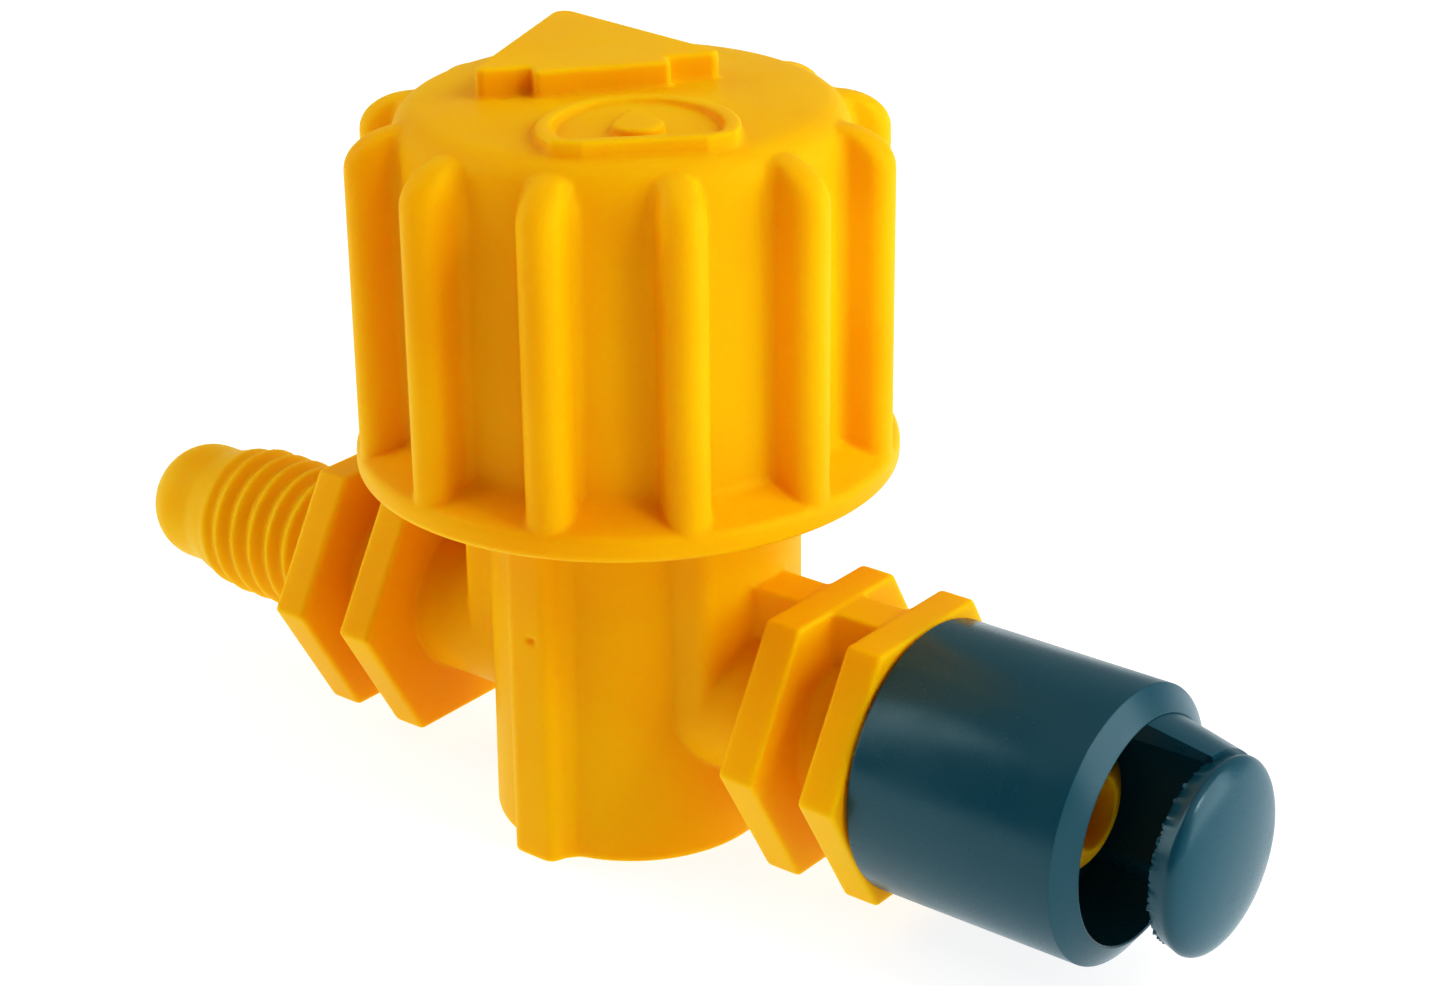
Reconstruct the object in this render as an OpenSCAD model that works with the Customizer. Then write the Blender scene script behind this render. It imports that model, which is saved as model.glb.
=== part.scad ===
// Threaded micro spray emitter with its own screw-down flow control valve.
// Millimetres. The origin is the centre of the flat base, +Z runs up the knob's axis,
// and +X runs along the barrel towards the spray jet.

/* [Barrel] */
// Height of the barrel's axis above the base
axis_z = 5.0; // [4.8:0.1:5.6]
// Radius of the round barrel
barrel_r = 2.4; // [2.2:0.05:2.6]
// Thickness of the upright web that stiffens the barrel
web_t = 1.5; // [1.2:0.1:2]
// Radius of the water passage through the barrel
passage_r = 1.0; // [0.8:0.05:1.1]

/* [Spanner plates] */
// Size across the flats of the hexagonal plates
hex_af = 8.0; // [7.8:0.1:8.2]
// Thickness of one plate
hex_t = 1.22; // [1:0.01:1.4]
// Distance from the knob's axis to the inner plate
hex_inner_x = 6.86; // [6.6:0.01:7]
// Clear gap between the two plates of a pair
hex_gap = 1.57; // [1.4:0.01:1.7]

/* [Centre body] */
// Radius of the centre tube at the base
tube_base_r = 4.3; // [4.25:0.05:4.5]
// Radius of the centre tube at its shoulder
tube_top_r = 4.2; // [4.1:0.05:4.3]
// Height of the shoulder under the knob
shoulder_z = 11.3; // [11:0.1:11.4]
// Height of the open top of the tube inside the knob
tube_z = 18.0; // [17.6:0.1:18.2]
// Width of the grip ribs on the front and back of the tube
side_rib_w = 1.7; // [1.4:0.1:2]
// Radius over those ribs
side_rib_r = 4.95; // [4.8:0.05:5.1]
// Width of the saddle that joins the tube to the barrel
saddle_w = 4.8; // [4.6:0.1:4.8]
// Radius of the saddle's rounded ends
saddle_r = 5.25; // [5:0.05:5.3]

/* [Inlet spigot and outlet stud] */
// Outside radius of the spigot's thread
thread_r = 2.45; // [2.4:0.01:2.48]
// Depth of the thread
thread_depth = 0.32; // [0.2:0.01:0.4]
// Thread pitch, 32 to the inch
thread_pitch = 0.794; // [0.79:0.001:0.8]
// Radius of the smooth nose at the spigot's tip
nose_r = 1.97; // [1.9:0.01:2]
// Length of the inlet spigot beyond its spanner plate
spigot_l = 9.5; // [9.4:0.1:10.4]
// Length of the outlet stud beyond its spanner plate
stud_l = 6.0; // [5.6:0.1:6.2]

/* [Control knob] */
// Height of the knob's lower edge
knob_z = 11.64; // [11.6:0.01:11.8]
// Height of the knob's crown
crown_z = 22.87; // [22.6:0.01:23.1]
// Radius of the flange round the knob's foot
flange_r = 8.05; // [8:0.05:8.3]
// Radius of the plain wall between the grip ribs
wall_r = 6.65; // [6.5:0.05:6.8]
// Number of grip ribs
grip_ribs = 12; // [10:1:14]
// Thickness of one grip rib
grip_t = 1.3; // [1.1:0.1:1.5]
// Radius over the grip ribs
grip_r = 8.0; // [7.8:0.05:8.1]
// Height of the raised arrow above the crown
arrow_h = 0.73; // [0.5:0.01:1.1]
// Direction of the arrow from +X
arrow_turn = 141.5; // [0:0.5:359.5]
// Sideways offset of the arrow from the knob's axis
arrow_shift = 0.6; // [0:0.05:0.7]

/* [Valve works] */
// Radius of the piston
piston_r = 2.3; // [2.2:0.01:2.32]
// Running clearance of the piston in its bore
piston_gap = 0.05; // [0.03:0.01:0.08]
// Height of the stopper's face with the knob at rest
stopper_z = 5.9; // [5.9:0.05:6.2]
// Full downward travel of the piston
travel = 2.2; // [2:0.1:2.2]

/* [Spray jet] */
// Outside radius of the jet's barrel
jet_r = 4.07; // [4:0.01:4.2]
// Radius of the jet's open mouth
mouth_r = 3.3; // [3.2:0.01:3.4]
// Position of the mouth along the barrel's axis
mouth_x = 18.08; // [17.9:0.01:18.3]
// Position of the tip of the deflector head
head_x = 21.1; // [21:0.05:21.6]
// Radius of the deflector head
head_r = 2.85; // [2.7:0.05:3]

/* [Hidden] */
$fn = 96;
eps = 0.02;
arc_steps = 8;
hex_r = hex_af / 2 / cos(30);
hex_outer_x = hex_inner_x + hex_t + hex_gap;
hex_face_x = hex_outer_x + hex_t;
web_z = hex_af / 2 - 0.05;
bore_r = piston_r + piston_gap;
seat_z = stopper_z - travel - 0.05;
sump_r = 1.6;
floor_t = 1.1;
piston_top_z = 13.2;
upper_bore_z = 13.6;
upper_bore_r = 3.4;
collar_r = 5.0;
collar_gap = 0.08;
collar_z = [14.3, 17.6];
skirt_r = 5.6;
skirt_top_z = 13.9;
ceiling_z = 21.3;
boss_r = 3.1;
boss_z = 16.3;
lip_r = 1.3;
socket_r = 1.9;
socket_z = [17.2, 18.7];
ring_r = 0.365;
ring_centre_r = 1.975;
ring_groove_w = 0.9;
ring_zs = [10.1, 11.9];
pin_r = 1.0;
pin_l = 0.9;
stopper_h = 1.7;
rim_h = 0.66;
flare_h = 0.65;
edge_r = 1.05;
crown_rise = 0.42;
badge_h = 0.12;
badge_r = 4.05;
badge_turn = -43.5;
badge_reach = 5.85;
wall_top_r = wall_r - 0.1;
jet_back_x = hex_face_x + 0.08;
thread_gap = 0.1;
jet_bore_end = 15.4;
chamfer_x = 17.58;
pillar_r = [2.62, 3.34];
pillar_end_r = 2.92;
pillar_turn = -18;
pillar_cut = 0.9;
head_back_x = 19.75;
head_rim_x = 20.35;

// Points of an arc about a centre, from one angle to another.
function arc(cx, cy, rx, ry, from, to, n = arc_steps) =
    [for (i = [0:n]) let (a = from + (to - from) * i / n) [cx + rx * cos(a), cy + ry * sin(a)]];

// Turns a shape that stands on XY so that its Z axis runs along the barrel.
module along_barrel(x = 0) {
    translate([x, 0, axis_z]) rotate([0, 90, 0]) children();
}

// A flat profile in Y and Z, extruded along the barrel.
module barrel_profile(x, length) {
    translate([x, 0, axis_z]) rotate([90, 0, 90]) linear_extrude(length) children();
}

// One hexagonal plate, with its corners at the front and back.
module hex_plate(x) {
    along_barrel(x) rotate([0, 0, 90]) cylinder(h = hex_t, r = hex_r, $fn = 6);
}

// Outline of a threaded stub that starts at zero and ends in a rounded nose.
function stub_outline(length, crest_r, turns, neck, tip_l) =
    let (root_r = crest_r - thread_depth,
         nose_start = length - tip_l,
         ridge = [for (i = [0:turns - 1]) let (a = thread_pitch * (i + 0.4))
             each [[root_r, a], [crest_r, a + thread_pitch * 0.3],
                   [crest_r, a + thread_pitch * 0.5], [root_r, a + thread_pitch * 0.8]]])
    concat([[0, -0.4], [crest_r, -0.4], [crest_r, 0.12]], ridge,
           [[nose_r, neck], [nose_r, nose_start]],
           arc(0, nose_start, nose_r, tip_l, 0, 90));

module stub(length, turns, neck, tip_l) {
    rotate_extrude() polygon(stub_outline(length, thread_r, turns, neck, tip_l));
}

module centre_body() {
    cylinder(h = shoulder_z, r1 = tube_base_r, r2 = tube_top_r);
    cylinder(h = tube_z, r = tube_top_r);
    translate([0, 0, collar_z[0]]) cylinder(h = collar_z[1] - collar_z[0], r = collar_r);
    intersection() {
        cylinder(h = shoulder_z, r = side_rib_r);
        translate([-side_rib_w / 2, -side_rib_r - 1, 0])
            cube([side_rib_w, 2 * side_rib_r + 2, shoulder_z]);
    }
    intersection() {
        translate([0, 0, axis_z]) cylinder(h = shoulder_z - axis_z, r = saddle_r);
        translate([-saddle_r - 1, -saddle_w / 2, axis_z])
            cube([2 * saddle_r + 2, saddle_w, shoulder_z - axis_z]);
    }
}

module barrel() {
    along_barrel(-hex_outer_x - eps) cylinder(h = 2 * (hex_outer_x + eps), r = barrel_r);
    translate([-hex_outer_x - eps, -web_t / 2, axis_z])
        cube([2 * (hex_outer_x + eps), web_t, web_z]);
    for (side = [0, 1]) mirror([side, 0, 0]) {
        hex_plate(hex_inner_x);
        hex_plate(hex_outer_x);
    }
}

module waterways() {
    translate([0, 0, seat_z]) cylinder(h = tube_z, r = bore_r);
    translate([0, 0, upper_bore_z]) cylinder(h = tube_z, r = upper_bore_r);
    translate([0, 0, floor_t]) cylinder(h = axis_z, r = sump_r);
    along_barrel(-hex_face_x - spigot_l - 1)
        cylinder(h = 2 * hex_face_x + spigot_l + stud_l + 2, r = passage_r);
}

module valve_body() {
    color([1.0, 0.76, 0.03]) difference() {
        union() {
            centre_body();
            barrel();
            mirror([1, 0, 0]) along_barrel(hex_face_x) stub(spigot_l, 7, 7.1, 1.75);
            along_barrel(hex_face_x) stub(stud_l, 4, 4.1, 0.9);
        }
        waterways();
    }
}

// Half outline of the domed crown and its rounded edge.
function crown_outline() = concat(
    [[0, crown_z]],
    [for (i = [1:4]) let (r = (wall_top_r - edge_r) * i / 4)
        [r, crown_z - crown_rise * pow(r / wall_top_r, 2)]],
    arc(wall_top_r - edge_r, crown_z - crown_rise - edge_r, edge_r, edge_r, 72, 0));

// Half outline of the knob, from the middle of the crown round to the thread's bore.
function knob_outline() = concat(
    [[0, ceiling_z - 0.01]], crown_outline(),
    [[wall_r, knob_z + rim_h + flare_h], [flange_r, knob_z + rim_h], [flange_r, knob_z],
     [skirt_r, knob_z], [skirt_r, skirt_top_z], [collar_r + collar_gap, skirt_top_z],
     [collar_r + collar_gap, ceiling_z - 0.01]]);

// One grip rib, a bar with a fully rounded nose and a rounded shoulder at its top.
module grip_rib() {
    top = crown_z - crown_rise - 0.3;
    intersection() {
        translate([0, 0, knob_z + 0.3]) linear_extrude(top - knob_z - 0.3) {
            translate([collar_r + 0.6, -grip_t / 2])
                square([grip_r - grip_t / 2 - collar_r - 0.6, grip_t]);
            translate([grip_r - grip_t / 2, 0]) circle(r = grip_t / 2);
        }
        rotate_extrude() polygon(concat(
            [[0, knob_z], [grip_r + 0.05, knob_z], [grip_r + 0.05, knob_z + 1],
             [grip_r - 0.12, top - 1.3]],
            arc(grip_r - 1.42, top - 1.3, 1.3, 1.3, 0, 90), [[0, top]]));
    }
}

// Arrow head and stem, pointing along +X, with softened corners and a rounded tip.
module arrow() {
    stem = [-0.56, 1.9];
    barb = [0.04, 3.52];
    soft = 0.3;
    tip_r = 0.4;
    tip_x = 5.34;
    linear_extrude(crown_z + arrow_h - ceiling_z) {
        translate([stem[0], -stem[1]]) square([barb[0] - stem[0] + 0.5, 2 * stem[1]]);
        polygon(concat([[barb[0], barb[1] - soft], [barb[0], -barb[1] + soft],
                        [barb[0] + soft, -barb[1]]],
                       arc(tip_x, 0, tip_r, tip_r, -60, 60), [[barb[0] + soft, barb[1]]]));
    }
}

// Outline of the badge: a ring, cut straight towards the crown's edge, round a water drop.
module badge_outline() {
    rim = [2.35, 2.8];
    cut = 1.55;
    bar = 0.45;
    drop = 0.72;
    difference() {
        circle(r = rim[1]);
        circle(r = rim[0]);
        translate([-3, -3]) square([6, 3 - cut]);
    }
    intersection() {
        circle(r = rim[1]);
        translate([-3, -cut]) square([6, bar]);
    }
    circle(r = drop);
    polygon([[-drop * 0.9, drop * 0.43], [0, drop * 2.2], [drop * 0.9, drop * 0.43]]);
}

// The badge, with its corners kept back from the crown's rounded edge.
module badge() {
    linear_extrude(crown_z + badge_h - ceiling_z) intersection() {
        badge_outline();
        translate([0, badge_r]) circle(r = badge_reach);
    }
}

module control_knob() {
    color([1.0, 0.74, 0.02]) difference() {
        union() {
            rotate_extrude() polygon(knob_outline());
            for (i = [0:grip_ribs - 1])
                rotate([0, 0, -90 + 22.5 + i * 360 / grip_ribs]) grip_rib();
            translate([0, 0, boss_z]) cylinder(h = ceiling_z - boss_z + 0.5, r = boss_r);
            translate([0, 0, ceiling_z]) rotate([0, 0, arrow_turn])
                translate([0, arrow_shift, 0]) arrow();
            translate([0, 0, ceiling_z]) rotate([0, 0, badge_turn])
                translate([badge_r, 0, 0]) rotate([0, 0, 90]) badge();
        }
        translate([0, 0, boss_z - 1]) cylinder(h = 5, r = lip_r);
        translate([0, 0, socket_z[0]]) cylinder(h = socket_z[1] - socket_z[0] + 0.1, r = socket_r);
    }
}

module spindle() {
    color([0.93, 0.93, 0.9]) difference() {
        union() {
            translate([0, 0, stopper_z + stopper_h])
                cylinder(h = piston_top_z - stopper_z - stopper_h, r = piston_r);
            translate([0, 0, stopper_z + stopper_h - pin_l]) cylinder(h = 2, r = pin_r);
            translate([0, 0, piston_top_z - eps]) cylinder(h = boss_z - piston_top_z - 0.3, r = 1.7);
            translate([0, 0, piston_top_z]) cylinder(h = socket_z[1] - piston_top_z - 0.1, r = lip_r - 0.1);
            translate([0, 0, socket_z[0] + 0.1])
                cylinder(h = socket_z[1] - socket_z[0] - 0.2, r = socket_r - 0.1);
        }
        for (z = ring_zs) translate([0, 0, z - ring_groove_w / 2])
            rotate_extrude() translate([ring_centre_r - ring_r - 0.01, 0])
                square([1.2, ring_groove_w]);
    }
}

module stopper() {
    color([0.12, 0.12, 0.12]) difference() {
        translate([0, 0, stopper_z]) {
            translate([0, 0, 0.3]) cylinder(h = stopper_h - 0.3, r = piston_r - 0.05);
            cylinder(h = 0.3 + eps, r1 = piston_r - 0.35, r2 = piston_r - 0.05);
        }
        translate([0, 0, stopper_z + stopper_h - pin_l]) cylinder(h = 2, r = pin_r);
    }
}

module o_ring(z) {
    color([0.1, 0.1, 0.1]) translate([0, 0, z]) rotate_extrude()
        translate([ring_centre_r, 0]) circle(r = ring_r, $fn = 32);
}

module upper_o_ring() { o_ring(ring_zs[1]); }
module lower_o_ring() { o_ring(ring_zs[0]); }

module jet_barrel() {
    along_barrel(0) rotate_extrude() polygon([
        [thread_r + thread_gap, jet_back_x], [jet_r - 0.08, jet_back_x],
        [jet_r, jet_back_x + 0.08], [jet_r, chamfer_x], [mouth_r + 0.02, mouth_x],
        [mouth_r, mouth_x], [mouth_r, jet_bore_end], [thread_r + thread_gap, jet_bore_end]]);
}

// The open-sided pillar that carries the deflector head, narrowing towards the head.
module jet_pillar() {
    side = 2 * pillar_r[1];
    intersection() {
        barrel_profile(jet_bore_end - 0.1, head_back_x + 0.3 - jet_bore_end)
            rotate([0, 0, pillar_turn]) difference() {
                circle(r = pillar_r[1]);
                circle(r = pillar_r[0]);
                translate([pillar_cut - 2 * side, -side]) square([2 * side, 2 * side]);
            }
        along_barrel(0) rotate_extrude() polygon([[0, jet_bore_end - 0.2],
            [pillar_r[1] + 0.02, jet_bore_end - 0.2], [pillar_r[1] + 0.02, mouth_x],
            [pillar_end_r, head_back_x + 0.3], [0, head_back_x + 0.3]]);
    }
}

module deflector_head() {
    along_barrel(0) rotate_extrude() polygon(concat(
        [[0, head_back_x], [head_r - 0.25, head_back_x], [head_r, head_rim_x]],
        arc(0, head_rim_x, head_r, head_x - head_rim_x, 8, 90)));
}

module spray_jet() {
    color([0.14, 0.33, 0.43]) union() {
        jet_barrel();
        jet_pillar();
        deflector_head();
    }
}

valve_body();
control_knob();
spindle();
stopper();
upper_o_ring();
lower_o_ring();
spray_jet();
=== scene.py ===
"""Looks of a micro spray emitter: a yellow valve body, its ribbed control knob and a blue spray jet."""
import math
import random

import bmesh
import bpy
from mathutils import Matrix, Vector


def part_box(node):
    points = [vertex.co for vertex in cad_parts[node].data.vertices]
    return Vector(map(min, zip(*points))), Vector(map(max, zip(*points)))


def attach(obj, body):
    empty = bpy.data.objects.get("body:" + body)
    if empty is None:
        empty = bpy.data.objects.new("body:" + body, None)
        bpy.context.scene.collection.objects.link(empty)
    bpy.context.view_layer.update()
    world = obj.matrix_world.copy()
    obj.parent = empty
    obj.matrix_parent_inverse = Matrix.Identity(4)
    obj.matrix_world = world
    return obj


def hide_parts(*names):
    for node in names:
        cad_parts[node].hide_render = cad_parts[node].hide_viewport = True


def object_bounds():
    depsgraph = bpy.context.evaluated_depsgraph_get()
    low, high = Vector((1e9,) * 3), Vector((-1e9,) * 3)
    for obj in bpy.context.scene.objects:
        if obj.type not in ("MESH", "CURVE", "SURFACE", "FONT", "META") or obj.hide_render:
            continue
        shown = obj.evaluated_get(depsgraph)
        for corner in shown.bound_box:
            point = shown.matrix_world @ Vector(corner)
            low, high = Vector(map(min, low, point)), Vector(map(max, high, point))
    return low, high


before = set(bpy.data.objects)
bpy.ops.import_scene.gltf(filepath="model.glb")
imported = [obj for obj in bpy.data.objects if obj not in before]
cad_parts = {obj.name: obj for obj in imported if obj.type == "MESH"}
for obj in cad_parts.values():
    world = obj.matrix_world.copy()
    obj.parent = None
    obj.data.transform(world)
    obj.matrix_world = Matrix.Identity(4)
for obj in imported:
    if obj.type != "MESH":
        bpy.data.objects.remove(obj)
cad_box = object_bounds()

# ---------------------------------------------------------------- sizes, in millimetres
MM = 0.001
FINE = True
TURN_STEPS = 180


def box_mm(node):
    """Lowest and highest corners of a node, in millimetres."""
    low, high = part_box(node)
    return low / MM, high / MM


body_high = box_mm("valve_body")[1]
knob_low, knob_high = box_mm("control_knob")
jet_low, jet_high = box_mm("spray_jet")
spindle_low, spindle_high = box_mm("spindle")
stopper_low, stopper_high = box_mm("stopper")

AXIS_Z = (jet_low.z + jet_high.z) / 2
HEX_R = 8.0 / math.sqrt(3)
HEX_T = 1.22
HEX_INNER_X = 6.86
HEX_OUTER_X = 9.65
HEX_FACE_X = HEX_OUTER_X + HEX_T
SHOULDER_Z = 11.3
TUBE_TOP_Z = body_high.z
PASSAGE_R = 1.0
SPIGOT_L = 9.5
SPIGOT_THREAD_END = 5.6
SPIGOT_DOME_L = 1.75
STUD_THREAD_END = 3.4
STUD_DOME_L = 0.9
SEAT_DROP = 2.25
BEYOND = 25
STOPPER_Z = stopper_low.z
CROWN_Z = 22.87
CROWN_RISE = 0.42
WALL_R = 6.65
FLANGE_R = min(knob_high.x, knob_high.y) - 0.01
KNOB_Z = knob_low.z
ARROW_Z = knob_high.z
GRIP_RIBS = 12
FIRST_RIB_TURN = -67.5
CROWN_BASE_Z = 21.8
ARROW_TURN = 141.5
ARROW_SHIFT = 0.6
BADGE_H = 0.12
BADGE_TURN = -43.5
BADGE_CENTRE_R = 4.05
BADGE_REACH = 5.85
PILLAR_TURN = 18
RIB_HALF = 0.65
JET_R = (jet_high.y - jet_low.y) / 2
THREAD_PITCH = 0.794
# Small turns that keep the edges of overlapping turned pieces from falling on each other.
PILLAR_OFFSET = math.radians(0.61)
HEAD_OFFSET = math.radians(0.37)


# ---------------------------------------------------------------- mesh helpers
def piece(name, points, faces):
    """A new object made of these points and faces, with its faces turned outwards."""
    mesh = bpy.data.meshes.new(name)
    mesh.from_pydata(points, [], faces)
    work = bmesh.new()
    work.from_mesh(mesh)
    bmesh.ops.recalc_face_normals(work, faces=work.faces)
    work.to_mesh(mesh)
    work.free()
    obj = bpy.data.objects.new(name, mesh)
    bpy.context.scene.collection.objects.link(obj)
    return obj


def rounded(corners, steps=6):
    """An outline from corners (x, y) or (x, y, radius), with the corners that have a radius rounded."""
    outline = []
    for i, corner in enumerate(corners):
        here = Vector(corner[:2])
        radius = corner[2] if len(corner) > 2 else 0
        if not radius:
            outline.append(tuple(here))
            continue
        back = (Vector(corners[i - 1][:2]) - here).normalized()
        ahead = (Vector(corners[(i + 1) % len(corners)][:2]) - here).normalized()
        half = back.angle(ahead) / 2
        centre = here + (back + ahead).normalized() * radius / math.sin(half)
        start = here + back * radius / math.tan(half) - centre
        end = here + ahead * radius / math.tan(half) - centre
        sweep = start.angle_signed(end)
        for k in range(steps + 1):
            point = centre + Matrix.Rotation(-sweep * k / steps, 2) @ start
            outline.append(tuple(point))
    return outline


def lathe(name, outline, steps=TURN_STEPS):
    """Turns a closed outline of (radius, height) round the Z axis."""
    points, rings = [], []
    for radius, height in outline:
        if radius < 1e-6:
            rings.append([len(points)] * steps)
            points.append((0, 0, height))
            continue
        rings.append(list(range(len(points), len(points) + steps)))
        for k in range(steps):
            angle = 2 * math.pi * k / steps
            points.append((radius * math.cos(angle), radius * math.sin(angle), height))
    return piece(name, points, ring_faces(rings, closed=True))


def ring_faces(rings, closed=False):
    """Faces between neighbouring rings of point numbers. A ring of one repeated number is a pole."""
    faces = []
    pairs = zip(rings, rings[1:] + rings[:1]) if closed else zip(rings, rings[1:])
    for lower, upper in pairs:
        for k in range(len(lower)):
            n = (k + 1) % len(lower)
            corners = list(dict.fromkeys([lower[k], lower[n], upper[n], upper[k]]))
            if len(corners) > 2:
                faces.append(corners)
    return faces


def loft(name, outlines):
    """Skins closed outlines of equally many (x, y, z) points, and closes both ends."""
    count = len(outlines[0])
    points = [p for outline in outlines for p in outline]
    rings = [list(range(i * count, (i + 1) * count)) for i in range(len(outlines))]
    faces = ring_faces(rings)
    faces.append(rings[0])
    faces.append(rings[-1])
    return piece(name, points, faces)


def prism(name, outline, low, high):
    """A flat outline in X and Y, raised from one height to another."""
    return loft(name, [[(x, y, z) for x, y in outline] for z in (low, high)])


def placed(obj, matrix):
    obj.data.transform(matrix)
    return obj


def along_barrel(obj, x=0.0, towards_inlet=False):
    """Lays a piece that stands on the XY plane along the barrel's axis."""
    turn = Matrix.Rotation(math.radians(180), 4, "Z") if towards_inlet else Matrix.Identity(4)
    lay = Matrix.Rotation(math.radians(90), 4, "Y")
    return placed(obj, turn @ Matrix.Translation((x, 0, AXIS_Z)) @ lay)


def bake(obj):
    """Replaces a piece's mesh by what its modifiers make of it."""
    shape = obj.evaluated_get(bpy.context.evaluated_depsgraph_get())
    mesh = bpy.data.meshes.new_from_object(shape)
    obj.modifiers.clear()
    old = obj.data
    obj.data = mesh
    bpy.data.meshes.remove(old)
    return obj


def combine(base, others, operation):
    for other in others:
        step = base.modifiers.new("combine", "BOOLEAN")
        step.operation = operation
        step.solver = "MANIFOLD"
        step.object = other
    bake(base)
    for other in others:
        bpy.data.objects.remove(other)
    return base


def merge(base, *others):
    return combine(base, others, "UNION")


def carve(base, *others):
    return combine(base, others, "DIFFERENCE")


def common(base, *others):
    return combine(base, others, "INTERSECT")


def bevelled(obj, width, segments=3, angle=50):
    step = obj.modifiers.new("edges", "BEVEL")
    step.width = width
    step.segments = segments
    step.limit_method = "ANGLE"
    step.angle_limit = math.radians(angle)
    return bake(obj)


def moulded(obj, voxel, passes, triangles):
    """Joins a piece into one skin, softens its edges as a mould does, and thins out its flat areas."""
    skin = obj.modifiers.new("skin", "REMESH")
    skin.mode = "VOXEL"
    skin.voxel_size = voxel if FINE else voxel * 1.7
    soft = obj.modifiers.new("soft", "SMOOTH")
    soft.factor = 0.5
    soft.iterations = passes if FINE else max(2, passes // 2)
    bake(obj)
    share = (triangles if FINE else triangles // 2) / (2 * len(obj.data.polygons))
    if share < 1:
        thin = obj.modifiers.new("thin", "DECIMATE")
        thin.ratio = share
        bake(obj)
    return obj


def finished(obj, name, body, node, material, smooth_angle=None):
    """Brings a piece to metres, and hands it to its body, its node and its material."""
    obj.name = name
    obj.data.name = name
    obj.data.transform(Matrix.Scale(MM, 4))
    obj.data.materials.clear()
    obj.data.materials.append(material)
    obj.data.shade_smooth()
    if smooth_angle:
        obj.data.set_sharp_from_angle(angle=math.radians(smooth_angle))
    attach(obj, body)
    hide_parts(node)
    return obj


def smooth_step(low, high, value):
    t = min(max((value - low) / (high - low), 0), 1)
    return t * t * (3 - 2 * t)


# ---------------------------------------------------------------- valve body
def threaded_stub(name, length, thread_end, tip_l):
    """A stub with a right-hand thread that fades into a smooth nose with a rounded end."""
    root_r, nose_r, crest = 2.2, 1.97, 0.25
    dome = length - tip_l
    heights = [-0.4 + 0.06 * i for i in range(int((dome + 0.4) / 0.06))]
    dome_steps = 24
    heights += [dome + tip_l * math.sin(math.pi / 2 * i / dome_steps) for i in range(dome_steps)]
    points, rings = [], [[0] * TURN_STEPS]
    points.append((0, 0, heights[0]))
    for height in heights:
        core = root_r + (nose_r - root_r) * smooth_step(thread_end + 0.4, thread_end + 1.5, height)
        if height > dome:
            core = nose_r * math.sqrt(max(1 - ((height - dome) / tip_l) ** 2, 0))
        fade = 1 - smooth_step(thread_end - 0.5, thread_end + 0.9, height)
        depth = crest * fade * smooth_step(-0.1, 0.35, height)
        rings.append(list(range(len(points), len(points) + TURN_STEPS)))
        for k in range(TURN_STEPS):
            angle = 2 * math.pi * k / TURN_STEPS
            wave = 0.5 + 0.5 * math.cos(2 * math.pi * height / THREAD_PITCH - angle)
            radius = core + depth * wave
            points.append((radius * math.cos(angle), radius * math.sin(angle), height))
    rings.append([len(points)] * TURN_STEPS)
    points.append((0, 0, length))
    return piece(name, points, ring_faces(rings))


def hex_plate(x):
    """A spanner plate with its flats up and down."""
    corners = [(HEX_R * math.sin(math.radians(60 * k)), HEX_R * math.cos(math.radians(60 * k)), 0.12)
               for k in range(6)]
    plate = prism("plate", [(-b, a) for a, b in rounded([(y, -x, r) for x, y, r in corners], 3)], 0, HEX_T)
    return along_barrel(bevelled(plate, 0.1, 2), x)


def grip_rib_on_tube(side):
    """The rib on the front or back of the tube, with rounded corners and flared roots."""
    half, flare, reach = 0.85, 1.25, 4.93
    outline = rounded([(-flare, 0), (-flare, -4.0), (-half, -4.5, 0.4), (-half, -reach, 0.4),
                       (half, -reach, 0.4), (half, -4.5, 0.4), (flare, -4.0), (flare, 0)])
    rib = prism("rib", outline, 0.01, SHOULDER_Z)
    return placed(rib, Matrix.Rotation(math.radians(side), 4, "Z"))


def saddle():
    """The block that joins the tube to the barrel, with rounded ends and corners."""
    half, reach, corner = 2.4, 5.25, 0.5
    edge = math.degrees(math.asin(half / reach))
    arc = [(reach * math.cos(math.radians(a)), reach * math.sin(math.radians(a)))
           for a in [edge * (k / 5 - 1) * 0.85 for k in range(11)]]
    corner_x = reach * math.cos(math.radians(edge))
    right = [(corner_x, -half, corner)] + arc + [(corner_x, half, corner)]
    left = [(-c[0], -c[1], *c[2:]) for c in right]
    return prism("saddle", rounded(right + left), AXIS_Z, SHOULDER_Z)


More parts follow.
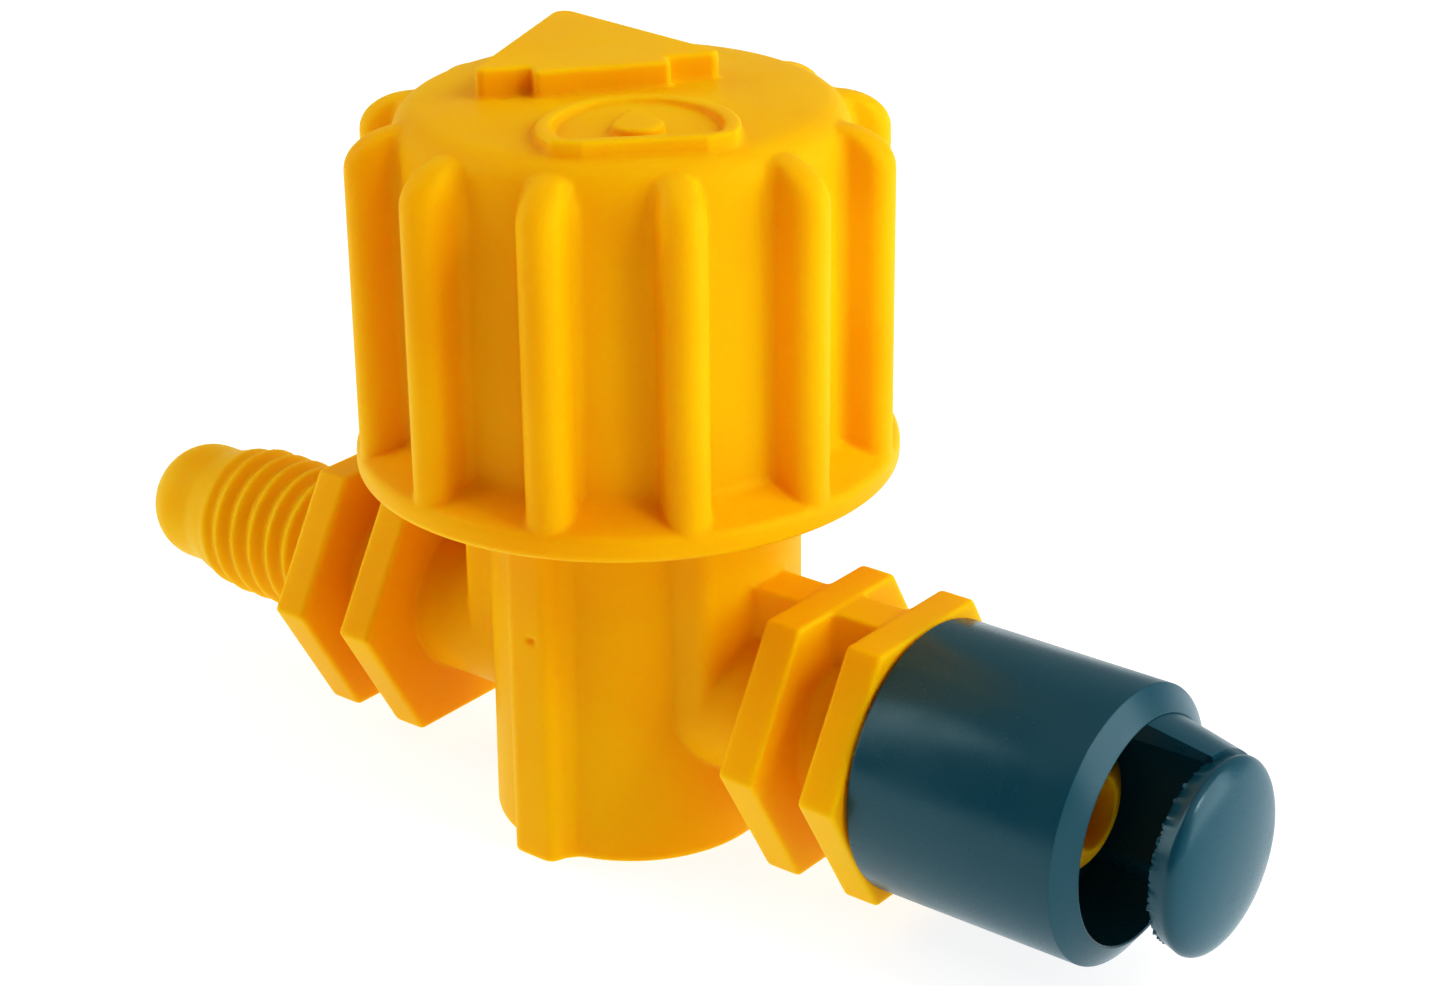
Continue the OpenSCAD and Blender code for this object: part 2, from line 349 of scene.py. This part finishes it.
def valve_body(resin):
    tube_r, top_r, collar_r = 4.3, 4.2, 5.0
    body = lathe("body", rounded([
        (0, 0), (tube_r, 0, 0.18), (top_r, SHOULDER_Z), (top_r, 14.2), (collar_r, 14.5, 0.2),
        (collar_r, 17.3, 0.3), (top_r, 17.6), (top_r, TUBE_TOP_Z, 0.2), (0, TUBE_TOP_Z)]))
    barrel = along_barrel(lathe("barrel", [(0, 0), (2.4, 0), (2.4, 2 * HEX_OUTER_X), (0, 2 * HEX_OUTER_X)]),
                          -HEX_OUTER_X)
    reach, half, rise = 9.67, 0.75, 3.95
    web_outline = [(-reach, -half), (reach, -half), (reach, half), (-reach, half)]
    web = prism("web", web_outline, AXIS_Z, AXIS_Z + rise)
    plates = [hex_plate(x) for x in (HEX_INNER_X, HEX_OUTER_X, -HEX_INNER_X - HEX_T, -HEX_FACE_X)]
    spigot = threaded_stub("spigot", SPIGOT_L, SPIGOT_THREAD_END, SPIGOT_DOME_L)
    along_barrel(spigot, HEX_FACE_X, towards_inlet=True)
    stud = threaded_stub("stud", body_high.x - HEX_FACE_X, STUD_THREAD_END, STUD_DOME_L)
    along_barrel(stud, HEX_FACE_X)
    merge(body, grip_rib_on_tube(0), grip_rib_on_tube(180), saddle(), barrel, web, *plates, spigot, stud)
    seat_z = STOPPER_Z - SEAT_DROP
    sump_z, sump_r, bore_r, upper_bore_r, beyond_z = 1.1, 1.6, 2.35, 3.4, TUBE_TOP_Z + 1
    bore = lathe("bore", [(0, sump_z), (sump_r, sump_z), (sump_r, seat_z), (bore_r, seat_z), (bore_r, 13.4),
                          (upper_bore_r, 13.6), (upper_bore_r, beyond_z), (0, beyond_z)])
    passage = lathe("passage", [(0, -BEYOND), (PASSAGE_R, -BEYOND), (PASSAGE_R, BEYOND), (0, BEYOND)])
    along_barrel(passage)
    carve(body, bore, passage)
    pit_place = (0.25, -4.98, 7.35)
    pit = lathe("pit", [(0, -0.16), (0.2, -0.1), (0.24, 0.06), (0, 0.1)], 24)
    placed(pit, Matrix.Translation(pit_place))
    carve(body, pit)
    moulded(body, 0.066, 7, 190000)
    return finished(body, "valve_body_moulding", "body", "valve_body", resin)


# ---------------------------------------------------------------- control knob
def knob_shell():
    edge_r = WALL_R - 0.1
    crown = [(r, CROWN_Z - CROWN_RISE * (r / edge_r) ** 2) for r in (0, 1.3, 2.6, 3.9, 5.0)]
    return lathe("knob", rounded(crown + [
        (edge_r, CROWN_Z - CROWN_RISE, 1.0), (WALL_R, KNOB_Z + 1.31, 0.4), (FLANGE_R, KNOB_Z + 0.7, 0.3),
        (FLANGE_R, KNOB_Z, 0.2), (5.6, KNOB_Z, 0.15), (5.6, 13.9), (5.08, 13.9), (5.08, 21.3, 0.3),
        (3.1, 21.3, 0.3), (3.1, 16.3, 0.2), (1.3, 16.3), (1.3, 17.2), (1.9, 17.2), (1.9, 18.8), (1.3, 18.8),
        (1.3, 20.3), (0, 20.3)]))


def knob_rib(number):
    """A grip rib with a full-round nose, flared roots and a top rounded like a fingertip."""
    top, round_l, foot = CROWN_Z - CROWN_RISE - 0.22, 1.2, KNOB_Z + 0.12
    heights = [foot, foot + 0.15, top - round_l]
    heights += [top - round_l + round_l * math.sin(math.pi / 2 * k / 10) for k in range(1, 11)]
    outlines = []
    for height in heights:
        rise = max(height - (top - round_l), 0) / round_l
        fullness = math.sqrt(max(1 - rise ** 2, 0.0004))
        half = RIB_HALF * (0.3 + 0.7 * fullness)
        reach = WALL_R - 0.5 + (FLANGE_R - 0.05 - WALL_R + 0.5) * fullness
        root = WALL_R + 0.32 * fullness - 0.2
        start = min(root, reach - half)
        nose = [(reach - half + half * math.cos(math.radians(a)), half * math.sin(math.radians(a)))
                for a in range(-90, 91, 15)]
        side = [(5.5, -half - 0.42), (start - 0.35, -half - 0.36), (start - 0.12, -half - 0.1),
                (start + 0.02, -half - 0.01)]
        flat = side + nose + [(x, -y) for x, y in reversed(side)]
        outlines.append([(x, y, height) for x, y in flat])
    angle = math.radians(FIRST_RIB_TURN + number * 360 / GRIP_RIBS)
    return placed(loft("rib", outlines), Matrix.Rotation(angle, 4, "Z"))


def arrow():
    """The raised arrow that shows which way the knob was turned."""
    outline = rounded([(-0.56, -1.95, 0.12), (0.04, -1.95), (0.04, -3.70, 0.25), (6.14, 0, 0.4),
                       (0.04, 3.70, 0.25), (0.04, 1.95), (-0.56, 1.95, 0.12)])
    plate = bevelled(prism("arrow", outline, CROWN_BASE_Z, ARROW_Z), 0.11, 3, 60)
    turn = Matrix.Rotation(math.radians(ARROW_TURN), 4, "Z")
    return placed(plate, turn @ Matrix.Translation((0, ARROW_SHIFT, 0)))


def badge():
    """A plain ring, cut straight towards the crown's edge, round a water drop."""
    top, inner, outer, cut, drop = CROWN_Z + BADGE_H, 2.35, 2.8, -1.55, 0.72
    soft = 0.05
    ring = lathe("badge", [(inner, CROWN_BASE_Z), (outer, CROWN_BASE_Z), (outer, top - soft),
                           (outer - soft, top), (inner + soft, top), (inner, top - soft)])
    carve(ring, prism("beyond", [(-4, -4), (4, -4), (4, cut), (-4, cut)], 21, 24))
    bar = common(prism("bar", [(-3, cut), (3, cut), (3, cut + 0.45), (-3, cut + 0.45)], CROWN_BASE_Z, top),
                 lathe("disc", [(0, 21), (outer, 21), (outer, 24), (0, 24)]))
    tear = [(drop * math.cos(math.radians(a)), drop * math.sin(math.radians(a))) for a in range(-205, 26, 10)]
    water = bevelled(prism("drop", tear + [(0, drop * 2.2)], CROWN_BASE_Z, top), 0.06, 2)
    merge(ring, bar, water)
    centre = Matrix.Rotation(math.radians(BADGE_TURN), 4, "Z") @ Matrix.Translation((BADGE_CENTRE_R, 0, 0))
    placed(ring, centre @ Matrix.Rotation(math.radians(90), 4, "Z"))
    return common(ring, lathe("reach", [(0, 21), (BADGE_REACH, 21), (BADGE_REACH, 24), (0, 24)]))


def control_knob(resin):
    knob = knob_shell()
    merge(knob, *[knob_rib(k) for k in range(GRIP_RIBS)], arrow(), badge())
    moulded(knob, 0.062, 6, 190000)
    return finished(knob, "control_knob_moulding", "knob", "control_knob", resin)


# ---------------------------------------------------------------- spray jet
def jet_barrel():
    back, bore_end, mouth_x, mouth_r, bore_r = jet_low.x, 15.4, 18.08, 3.3, 2.55
    return along_barrel(lathe("jet", rounded([
        (bore_r, back, 0.1), (JET_R, back, 0.1), (JET_R, 17.58, 0.06), (mouth_r + 0.06, mouth_x, 0.04),
        (mouth_r, mouth_x - 0.04, 0.03), (mouth_r, bore_end), (bore_r, bore_end)], 4)))


def jet_pillar():
    """The open-sided wall that carries the deflector, narrowing towards it."""
    inner, outer, end_r, cut = 2.62, 3.34, 2.92, 0.9
    start, end = 15.2, 20.0
    wall = lathe("pillar", [(inner, start), (outer, start), (outer, 18.0), (end_r, end), (inner, end)])
    placed(wall, Matrix.Rotation(PILLAR_OFFSET, 4, "Z"))
    keep = prism("keep", [(cut, -5), (5, -5), (5, 5), (cut, 5)], start - 1, end + 1)
    common(wall, bevelled(keep, 0.15, 2))
    return along_barrel(placed(wall, Matrix.Rotation(math.radians(90 + PILLAR_TURN), 4, "Z")))


def deflector_head():
    """The domed head. A little flash stands along its back edge, where the mould halves meet."""
    back, rim_x, tip, radius, rough = 19.75, 20.35, jet_high.x, 2.85, 0.07
    profile = [(0, back), (radius - 0.3, back), (radius - 0.18, back + 0.03), (radius - 0.16, back + 0.12),
               (radius - 0.03, rim_x - 0.1)]
    profile += [(radius * math.cos(math.radians(a)), rim_x + (tip - rim_x) * math.sin(math.radians(a)))
                for a in range(0, 90, 6)] + [(0, tip)]
    head = lathe("head", profile, 240)
    chance = random.Random(7)
    teeth = [chance.uniform(-1, 1) for _ in range(240)]
    for vertex in head.data.vertices:
        if abs(vertex.co.z - back - 0.03) < 0.01:
            k = round(math.atan2(vertex.co.y, vertex.co.x) / (2 * math.pi) * 240) % 240
            push = 1 + rough * (teeth[k] + teeth[(k + 7) % 240] * 0.5) / radius
            vertex.co.x *= push
            vertex.co.y *= push
    head.modifiers.new("flat_faces", "TRIANGULATE")
    return along_barrel(placed(bake(head), Matrix.Rotation(HEAD_OFFSET, 4, "Z")))


def spray_jet(resin):
    jet = merge(jet_barrel(), jet_pillar(), deflector_head())
    return finished(jet, "spray_jet_moulding", "jet", "spray_jet", resin, 32)


# ---------------------------------------------------------------- valve works
def spindle(resin):
    """The piston, with its two ring grooves, its neck and the head that snaps into the knob."""
    low, top = spindle_low.z, spindle_high.z
    piston_r, groove_r, neck_r, stem_r, head_r = 2.3, 1.6, 1.7, 1.2, 1.8
    shoulder, body_top = STOPPER_Z + 1.7, 13.2
    corners = [(0, low), (1.0, low, 0.1), (1.0, shoulder), (piston_r, shoulder, 0.1)]
    for groove in (10.1, 11.9):
        corners += [(piston_r, groove - 0.45, 0.06), (groove_r, groove - 0.45), (groove_r, groove + 0.45),
                    (piston_r, groove + 0.45, 0.06)]
    corners += [(piston_r, body_top, 0.15), (neck_r, body_top), (neck_r, 16.0, 0.15), (stem_r, 16.0),
                (stem_r, 17.3), (head_r, 17.3, 0.1), (head_r, top, 0.5), (0, top)]
    turned = lathe("spindle", rounded(corners, 4), 128)
    return finished(turned, "spindle_piston", "piston", "spindle", resin, 35)


def stopper(rubber):
    """The soft pad on the spindle's nose, with a rounded sealing edge and a hole for the spindle's pin."""
    low, top, radius, pin_r = stopper_low.z, stopper_high.z, 2.25, 1.0
    pad = lathe("stopper", rounded([
        (0, low), (radius, low, 0.3), (radius, top, 0.08), (pin_r, top), (pin_r, top - 0.9),
        (0, top - 0.9)], 5), 128)
    return finished(pad, "stopper_pad", "piston", "stopper", rubber, 35)


# ---------------------------------------------------------------- shader groups
def new_group(name, inputs, outputs):
    """An empty shader group with named inputs (name, kind, value) and outputs (name, kind)."""
    group = bpy.data.node_groups.new(name, "ShaderNodeTree")
    for label, kind, value in inputs:
        socket = group.interface.new_socket(label, in_out="INPUT", socket_type=kind)
        if value is not None:
            socket.default_value = value
    for label, kind in outputs:
        group.interface.new_socket(label, in_out="OUTPUT", socket_type=kind)
    return group, group.nodes.new("NodeGroupInput"), group.nodes.new("NodeGroupOutput")


def noise_node(tree, vector, scale, detail=2.0, roughness=0.5):
    node = tree.nodes.new("ShaderNodeTexNoise")
    node.inputs["Detail"].default_value = detail
    node.inputs["Roughness"].default_value = roughness
    tree.links.new(vector, node.inputs["Vector"])
    if isinstance(scale, (int, float)):
        node.inputs["Scale"].default_value = scale
    else:
        tree.links.new(scale, node.inputs["Scale"])
    return node.outputs["Fac"]


def maths(tree, operation, *values):
    node = tree.nodes.new("ShaderNodeMath")
    node.operation = operation
    for socket, value in zip(node.inputs, values):
        if isinstance(value, (int, float)):
            socket.default_value = value
        else:
            tree.links.new(value, socket)
    return node.outputs[0]


def ramp(tree, value, low, high, to_low=0.0, to_high=1.0):
    """Spreads a value from low-high to another range, smoothly and clamped."""
    node = tree.nodes.new("ShaderNodeMapRange")
    node.interpolation_type = "SMOOTHSTEP"
    tree.links.new(value, node.inputs["Value"])
    for label, number in (("From Min", low), ("From Max", high), ("To Min", to_low), ("To Max", to_high)):
        node.inputs[label].default_value = number
    return node.outputs["Result"]


def stretched(tree, vector, scale, rotation):
    """Turns a vector, then scales it along each of its axes."""
    for label, value in (("Rotation", rotation), ("Scale", scale)):
        node = tree.nodes.new("ShaderNodeMapping")
        node.inputs[label].default_value = value
        tree.links.new(vector, node.inputs["Vector"])
        vector = node.outputs["Vector"]
    return vector


def mould_grain_group():
    """The eroded mould's fine grain over the slow waves of shrinking plastic. Gives a height."""
    group, given, result = new_group("mould_grain", [
        ("Vector", "NodeSocketVector", None), ("Grain per metre", "NodeSocketFloat", 9000.0),
        ("Waves", "NodeSocketFloat", 0.3)], [("Height", "NodeSocketFloat")])
    vector, scale = given.outputs["Vector"], given.outputs["Grain per metre"]
    grain = noise_node(group, vector, scale, 3.0, 0.6)
    waves = noise_node(group, vector, maths(group, "MULTIPLY", scale, 0.045), 1.0)
    lifted = maths(group, "MULTIPLY", waves, given.outputs["Waves"])
    total = maths(group, "ADD", grain, maths(group, "MULTIPLY", lifted, 12.0))
    group.links.new(total, result.inputs["Height"])
    return group


def handling_group():
    """Fine scratches in three directions and dull, fingered patches. Gives two masks."""
    group, given, result = new_group("handling_marks", [
        ("Vector", "NodeSocketVector", None), ("Scratches", "NodeSocketFloat", 0.5)],
        [("Scratches", "NodeSocketFloat"), ("Dullness", "NodeSocketFloat")])
    vector = given.outputs["Vector"]
    marks = None
    for turn in ((0.3, 0.9, 0.2), (1.2, 0.2, 0.8), (0.7, 1.6, 1.4)):
        lines = noise_node(group, stretched(group, vector, (9000, 300, 9000), turn), 1.0, 0.0)
        patches = noise_node(group, stretched(group, vector, (450, 450, 450), turn), 1.0, 1.0)
        mark = maths(group, "MULTIPLY", ramp(group, lines, 0.74, 0.80), ramp(group, patches, 0.48, 0.60))
        marks = mark if marks is None else maths(group, "MAXIMUM", marks, mark)
    group.links.new(maths(group, "MULTIPLY", marks, given.outputs["Scratches"]), result.inputs["Scratches"])
    dull = ramp(group, noise_node(group, vector, 260.0, 3.0, 0.6), 0.35, 0.7)
    group.links.new(dull, result.inputs["Dullness"])
    return group


def pigment_group():
    """Slow drift between a resin's deep and light shades, with fine flecks of pigment."""
    group, given, result = new_group("pigment_drift", [
        ("Vector", "NodeSocketVector", None), ("Deep", "NodeSocketColor", (0.5, 0.5, 0.5, 1)),
        ("Light", "NodeSocketColor", (0.6, 0.6, 0.6, 1)), ("Flecks", "NodeSocketFloat", 0.1)],
        [("Color", "NodeSocketColor")])
    vector = given.outputs["Vector"]
    drift = ramp(group, noise_node(group, vector, 140.0, 2.0), 0.3, 0.7)
    fleck = maths(group, "MULTIPLY", noise_node(group, vector, 11000.0, 2.0), given.outputs["Flecks"])
    mix = group.nodes.new("ShaderNodeMix")
    mix.data_type = "RGBA"
    mix.clamp_factor = True
    group.links.new(maths(group, "ADD", maths(group, "MULTIPLY", drift, 0.8), fleck), mix.inputs["Factor"])
    group.links.new(given.outputs["Deep"], mix.inputs["A"])
    group.links.new(given.outputs["Light"], mix.inputs["B"])
    group.links.new(mix.outputs["Result"], result.inputs["Color"])
    return group


MOULD_GRAIN = mould_grain_group()
HANDLING = handling_group()
PIGMENT = pigment_group()


def placed_group(tree, group, **values):
    node = tree.nodes.new("ShaderNodeGroup")
    node.node_tree = group
    for label, value in values.items():
        socket = node.inputs[label.replace("_", " ")]
        if isinstance(value, bpy.types.NodeSocket):
            tree.links.new(value, socket)
        else:
            socket.default_value = value
    return node.outputs


def bare_material(name):
    material = bpy.data.materials.new(name)
    material.use_nodes = True
    tree = material.node_tree
    tree.nodes.clear()
    shader = tree.nodes.new("ShaderNodeBsdfPrincipled")
    output = tree.nodes.new("ShaderNodeOutputMaterial")
    tree.links.new(shader.outputs["BSDF"], output.inputs["Surface"])
    place = tree.nodes.new("ShaderNodeTexCoord").outputs["Object"]
    return material, tree, shader, place


def raised(tree, shader, height, distance, strength=1.0):
    bump = tree.nodes.new("ShaderNodeBump")
    bump.inputs["Distance"].default_value = distance
    bump.inputs["Strength"].default_value = strength
    tree.links.new(height, bump.inputs["Height"])
    tree.links.new(bump.outputs["Normal"], shader.inputs["Normal"])


def plastic(name, deep, light, roughness, grain, bump, scratches, flecks=0.2, glow=None, shine=0.5,
            sheen=(1, 1, 1)):
    """A moulded plastic. glow is how far light wanders inside it, in metres for each colour."""
    material, tree, shader, place = bare_material(name)
    colour = placed_group(tree, PIGMENT, Vector=place, Deep=(*deep, 1), Light=(*light, 1), Flecks=flecks)
    marks = placed_group(tree, HANDLING, Vector=place, Scratches=scratches)
    skin = placed_group(tree, MOULD_GRAIN, Vector=place, Grain_per_metre=grain)
    tree.links.new(colour["Color"], shader.inputs["Base Color"])
    dull = ramp(tree, marks["Dullness"], 0.0, 1.0, roughness, roughness + 0.08)
    worn = maths(tree, "ADD", dull, maths(tree, "MULTIPLY", marks["Scratches"], 0.12))
    tree.links.new(worn, shader.inputs["Roughness"])
    raised(tree, shader, skin["Height"], bump)
    shader.inputs["IOR"].default_value = 1.48
    shader.inputs["Specular IOR Level"].default_value = shine
    shader.inputs["Specular Tint"].default_value = (*sheen, 1)
    if glow:
        shader.inputs["Subsurface Weight"].default_value = glow[0]
        shader.inputs["Subsurface Radius"].default_value = glow[1:]
        shader.inputs["Subsurface Scale"].default_value = 1.0
    return material


def rubber(name, tint):
    """Black seal rubber: matt, faintly mottled, with a soft sheen."""
    material, tree, shader, place = bare_material(name)
    light = tuple(c * 1.8 for c in tint)
    colour = placed_group(tree, PIGMENT, Vector=place, Deep=(*tint, 1), Light=(*light, 1), Flecks=0.5)
    skin = placed_group(tree, MOULD_GRAIN, Vector=place, Grain_per_metre=14000.0)
    tree.links.new(colour["Color"], shader.inputs["Base Color"])
    patches = noise_node(tree, place, 900.0, 2.0)
    tree.links.new(ramp(tree, patches, 0.3, 0.7, 0.45, 0.62), shader.inputs["Roughness"])
    raised(tree, shader, skin["Height"], 0.000004)
    shader.inputs["IOR"].default_value = 1.52
    return material


YELLOW_GLOW = (0.6, 0.0011, 0.0005, 0.00005)
YELLOW_SHEEN = (1.0, 0.85, 0.12)
body_resin = plastic("yellow_acetal_body", (0.86, 0.43, 0.0008), (0.90, 0.50, 0.0015), 0.46, 9000.0,
                     0.0000035, 0.6, glow=YELLOW_GLOW, shine=0.25, sheen=YELLOW_SHEEN)
knob_resin = plastic("yellow_acetal_knob", (0.84, 0.405, 0.0008), (0.89, 0.475, 0.0015), 0.48, 8000.0,
                     0.0000045, 0.5, glow=YELLOW_GLOW, shine=0.25, sheen=YELLOW_SHEEN)
jet_resin = plastic("blue_acetal_jet", (0.006, 0.070, 0.102), (0.008, 0.082, 0.118), 0.25, 3500.0,
                    0.0000005, 0.3, flecks=0.04, sheen=(0.85, 1.0, 1.0))
spindle_resin = plastic("natural_acetal_spindle", (0.72, 0.71, 0.66), (0.82, 0.81, 0.77), 0.33, 9000.0,
                        0.000002, 0.3, glow=(0.4, 0.0008, 0.0008, 0.0007))
seal_rubber = rubber("black_seal_rubber", (0.012, 0.012, 0.013))

valve_body(body_resin)
control_knob(knob_resin)
spray_jet(jet_resin)
spindle(spindle_resin)
stopper(seal_rubber)
for ring in ("upper_o_ring", "lower_o_ring"):
    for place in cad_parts[ring].material_slots:
        place.link = "OBJECT"
        place.material = seal_rubber


# ---------------------------------------------------------------- floor, light and camera
CAMERA_TURN = math.radians(38.315)
CAMERA_TILT = math.radians(23.842)
CAMERA_BACK = Vector((math.sin(CAMERA_TURN) * math.cos(CAMERA_TILT),
                      -math.cos(CAMERA_TURN) * math.cos(CAMERA_TILT), math.sin(CAMERA_TILT)))
ROOM_LIGHT = 0.55
FRONT_LIGHT = 0.08


def studio_floor():
    """A wide pale sheet under the part, rising gently at its far rim."""
    radii = [0.0, 0.05, 0.1, 0.2, 0.4, 0.8, 1.2, 1.5]
    outline = [(r, 0.04 * max(r - 1.0, 0) ** 2) for r in radii]
    steps, points, rings = 96, [], []
    for radius, height in outline:
        if radius == 0:
            rings.append([0] * steps)
            points.append((0, 0, height))
            continue
        rings.append(list(range(len(points), len(points) + steps)))
        for k in range(steps):
            angle = 2 * math.pi * k / steps
            points.append((radius * math.cos(angle), radius * math.sin(angle), height))
    floor = piece("studio_floor", points, ring_faces(rings))
    floor.location.z = -0.00002
    material, tree, shader, place = bare_material("pale_board")
    soft = noise_node(tree, place, 900.0, 3.0)
    mix = tree.nodes.new("ShaderNodeMix")
    mix.data_type = "RGBA"
    mix.inputs["A"].default_value = (0.38, 0.38, 0.38, 1)
    mix.inputs["B"].default_value = (0.42, 0.42, 0.42, 1)
    tree.links.new(soft, mix.inputs["Factor"])
    tree.links.new(mix.outputs["Result"], shader.inputs["Base Color"])
    shader.inputs["Roughness"].default_value = 0.85
    shader.inputs["Emission Color"].default_value = (1, 1, 1, 1)
    shader.inputs["Emission Strength"].default_value = 0.80
    raised(tree, shader, soft, 0.00001)
    floor.data.materials.append(material)
    floor.data.shade_smooth()


def softbox(name, turn, tilt, distance, width, height, watts, tint=(1, 1, 1)):
    """An area light that faces the part from a direction given in degrees."""
    light = bpy.data.lights.new(name, "AREA")
    light.shape = "RECTANGLE"
    light.size = width
    light.size_y = height
    light.energy = watts
    light.color = tint
    lamp = bpy.data.objects.new(name, light)
    a, e = math.radians(turn), math.radians(tilt)
    away = Vector((math.sin(a) * math.cos(e), -math.cos(a) * math.cos(e), math.sin(e)))
    lamp.location = part_centre + away * distance
    lamp.rotation_euler = away.to_track_quat("Z", "Y").to_euler()
    bpy.context.scene.collection.objects.link(lamp)


def studio_world():
    """Even pale surroundings, dark in front of the part. The eye sees them brighter than they light."""
    world = bpy.data.worlds.new("studio")
    world.use_nodes = True
    tree = world.node_tree
    tree.nodes.clear()
    output = tree.nodes.new("ShaderNodeOutputWorld")
    mix = tree.nodes.new("ShaderNodeMixShader")
    eye = tree.nodes.new("ShaderNodeBackground")
    room = tree.nodes.new("ShaderNodeBackground")
    eye.inputs["Strength"].default_value = 1.0
    facing = tree.nodes.new("ShaderNodeVectorMath")
    facing.operation = "DOT_PRODUCT"
    facing.inputs[1].default_value = Vector((-0.1, -0.95, 0.25)).normalized()
    tree.links.new(tree.nodes.new("ShaderNodeTexCoord").outputs["Generated"], facing.inputs[0])
    tree.links.new(ramp(tree, facing.outputs["Value"], 0.25, 0.85, ROOM_LIGHT, FRONT_LIGHT),
                   room.inputs["Strength"])
    path = tree.nodes.new("ShaderNodeLightPath")
    tree.links.new(path.outputs["Is Camera Ray"], mix.inputs["Fac"])
    tree.links.new(room.outputs["Background"], mix.inputs[1])
    tree.links.new(eye.outputs["Background"], mix.inputs[2])
    tree.links.new(mix.outputs["Shader"], output.inputs["Surface"])
    bpy.context.scene.world = world


def camera():
    """The camera looks down at the part from its front right."""
    roll = math.radians(-0.531)
    aim = part_centre + Vector((0.0022, 0.00105, -0.0012))
    distance = 0.0918
    right = Vector((math.cos(CAMERA_TURN), math.sin(CAMERA_TURN), 0))
    up = CAMERA_BACK.cross(right)
    right, up = (right * math.cos(roll) + up * math.sin(roll), up * math.cos(roll) - right * math.sin(roll))
    lens = bpy.data.cameras.new("camera")
    lens.lens = 77.27
    lens.sensor_width = 36.0
    lens.clip_start = 0.001
    lens.clip_end = 10.0
    eye = bpy.data.objects.new("camera", lens)
    eye.matrix_world = Matrix.Translation(aim + CAMERA_BACK * distance) @ Matrix(
        (right, up, CAMERA_BACK)).transposed().to_4x4()
    bpy.context.scene.collection.objects.link(eye)
    bpy.context.scene.camera = eye


def camera_response():
    """A plain display with the slight contrast of a small camera."""
    view = bpy.context.scene.view_settings
    view.view_transform = "Standard"
    view.use_curve_mapping = True
    curve = view.curve_mapping.curves[3]
    for dark, shown in ((0.03, 0.015), (0.1, 0.066), (0.25, 0.21), (0.5, 0.52), (0.75, 0.79)):
        curve.points.new(dark, shown)
    view.curve_mapping.update()


part_centre = Vector([(low + high) / 2 for low, high in zip(*cad_box)])
studio_floor()
studio_world()
softbox("overhead", 60, 74, 0.30, 0.30, 0.30, 0.18)
softbox("left_wall", -62, 28, 0.32, 0.18, 0.26, 0.42)
softbox("right_wall", 112, 22, 0.32, 0.28, 0.30, 0.74)
softbox("small_lamp", 90, 42, 0.30, 0.04, 0.06, 0.12)
camera()
camera_response()
